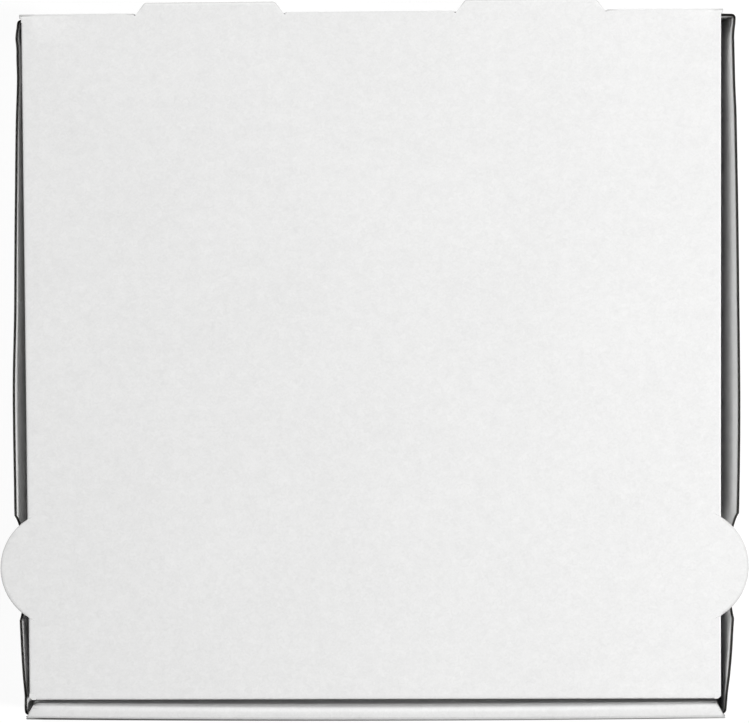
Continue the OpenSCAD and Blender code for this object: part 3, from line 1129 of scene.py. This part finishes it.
def fluteMedium(name, group):
    finish = coreFinish
    material, tree, shader, fibre = startPaper(name, group, finish)
    tone = remap(tree, (-450, 100), fibre.outputs["Height"], 0.0, 1.0, 0.45, 0.95)
    colour = mixColour(tree, (-250, 100), "MIX", tone, finish["dark"], finish["light"])
    connect(tree, colour, shader.inputs["Base Color"])
    rough = remap(tree, (-450, -200), fibre.outputs["Fibre"], *finish["roughness"])
    connect(tree, rough, shader.inputs["Roughness"])
    return material


studio = {
    "floorHalf": 4.0,
    "floorDrop": 0.3 * mm,
    "floorTone": (0.74, 0.74, 0.74, 1),
    "whiteShare": 0.9,         # own glow of the floor where the camera sees it
    "shadowShare": 0.14,       # share of the floor that takes light and shadow there
    "worldStrength": 0.08,
    "aim": (0, 0, 0.04),
    "lamps": {                 # place, width, height and power
        "keyLight": ((1.7, -0.3, 1.6), 0.5, 1.1, 52.0),
        "rearLight": ((-0.9, 3.4, 1.8), 1.2, 1.2, 105.0),
    },
}


def makeFloor():
    mesh = bpy.data.meshes.new("studioFloor")
    half, z = studio["floorHalf"], -studio["floorDrop"]
    corners = [(-half, -half, z), (half, -half, z), (half, half, z), (-half, half, z)]
    mesh.from_pydata(corners, [], [(0, 1, 2, 3)])
    material = bpy.data.materials.new("floorWhite")
    material.use_nodes = True
    tree = material.node_tree
    tree.nodes.clear()
    out = addNode(tree, "ShaderNodeOutputMaterial", (600, 0))
    pick = addNode(tree, "ShaderNodeMixShader", (400, 0))
    plain = addNode(tree, "ShaderNodeBsdfDiffuse", (0, 200))
    plain.inputs["Color"].default_value = studio["floorTone"]
    seen = addNode(tree, "ShaderNodeAddShader", (200, -100))
    lit = addNode(tree, "ShaderNodeBsdfDiffuse", (0, -50))
    lit.inputs["Color"].default_value = (studio["shadowShare"],) * 3 + (1,)
    glow = addNode(tree, "ShaderNodeEmission", (0, -250))
    glow.inputs["Strength"].default_value = studio["whiteShare"]
    path = addNode(tree, "ShaderNodeLightPath", (-400, 400))
    mirrored = addNode(tree, "ShaderNodeMath", (-200, 400), operation="MAXIMUM")
    direct = addNode(tree, "ShaderNodeMath", (0, 400), operation="MAXIMUM")
    connect(tree, path.outputs["Is Camera Ray"], mirrored.inputs[0])
    connect(tree, path.outputs["Is Glossy Ray"], mirrored.inputs[1])
    connect(tree, mirrored.outputs[0], direct.inputs[0])
    connect(tree, path.outputs["Is Transmission Ray"], direct.inputs[1])
    connect(tree, lit.outputs[0], seen.inputs[0])
    connect(tree, glow.outputs[0], seen.inputs[1])
    connect(tree, direct.outputs[0], pick.inputs[0])
    connect(tree, plain.outputs[0], pick.inputs[1])
    connect(tree, seen.outputs[0], pick.inputs[2])
    connect(tree, pick.outputs[0], out.inputs["Surface"])
    mesh.materials.append(material)
    return newObject("studioFloor", mesh)


def makeLights():
    world = bpy.data.worlds.new("studioWorld")
    scene.world = world
    world.use_nodes = True
    back = world.node_tree.nodes["Background"]
    back.inputs["Color"].default_value = (1, 1, 1, 1)
    back.inputs["Strength"].default_value = studio["worldStrength"]
    for name, (place, width, height, power) in studio["lamps"].items():
        lamp = bpy.data.lights.new(name, "AREA")
        lamp.shape = "RECTANGLE"
        lamp.size, lamp.size_y = width, height
        lamp.energy = power
        obj = newObject(name, lamp)
        obj.location = place
        aim = Vector(studio["aim"]) - Vector(place)
        obj.rotation_euler = aim.to_track_quat("-Z", "Y").to_euler()


# Overhead view: fitted to the box's corners in a 749 by 723 picture
view = {
    "place": (45.41 * mm, 32.73 * mm, 1.444),
    "turn": (-1.239, 1.806, -0.348),
    "lens": 155.22,
    "sensor": 36,
    "clip": (0.05, 30),
}


def makeCamera():
    data = bpy.data.cameras.new("camera")
    data.sensor_width = view["sensor"]
    data.lens = view["lens"]
    data.clip_start, data.clip_end = view["clip"]
    camera = newObject("camera", data)
    camera.location = view["place"]
    camera.rotation_euler = Euler([math.radians(a) for a in view["turn"]], "XYZ")
    scene.camera = camera


fibre = fibreGroup()
trayPaper = boardPaper("trayPaper", fibre, paperFinish["trayTone"])
lidPaper = boardPaper("lidPaper", fibre, paperFinish["lidTone"])
corePaper = fluteMedium("corePaper", fibre)
print("materials made")

wave = fluteTree()
for node, slot, paper in (("tray", "tray_board", trayPaper), ("lid", "lid_board", lidPaper)):
    liners = makeLiners(node + "Liners", node, paper, corePaper)
    core = makeFlutes(node + "Flutes", node, wave, corePaper)
    for piece in (liners, core):
        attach(piece, node)
        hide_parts(node)
paper = makeHingePaper("hingePaper", lidPaper)
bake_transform(paper)
print("board folded")

floor = makeFloor()
makeLights()
makeCamera()
print("studio set")
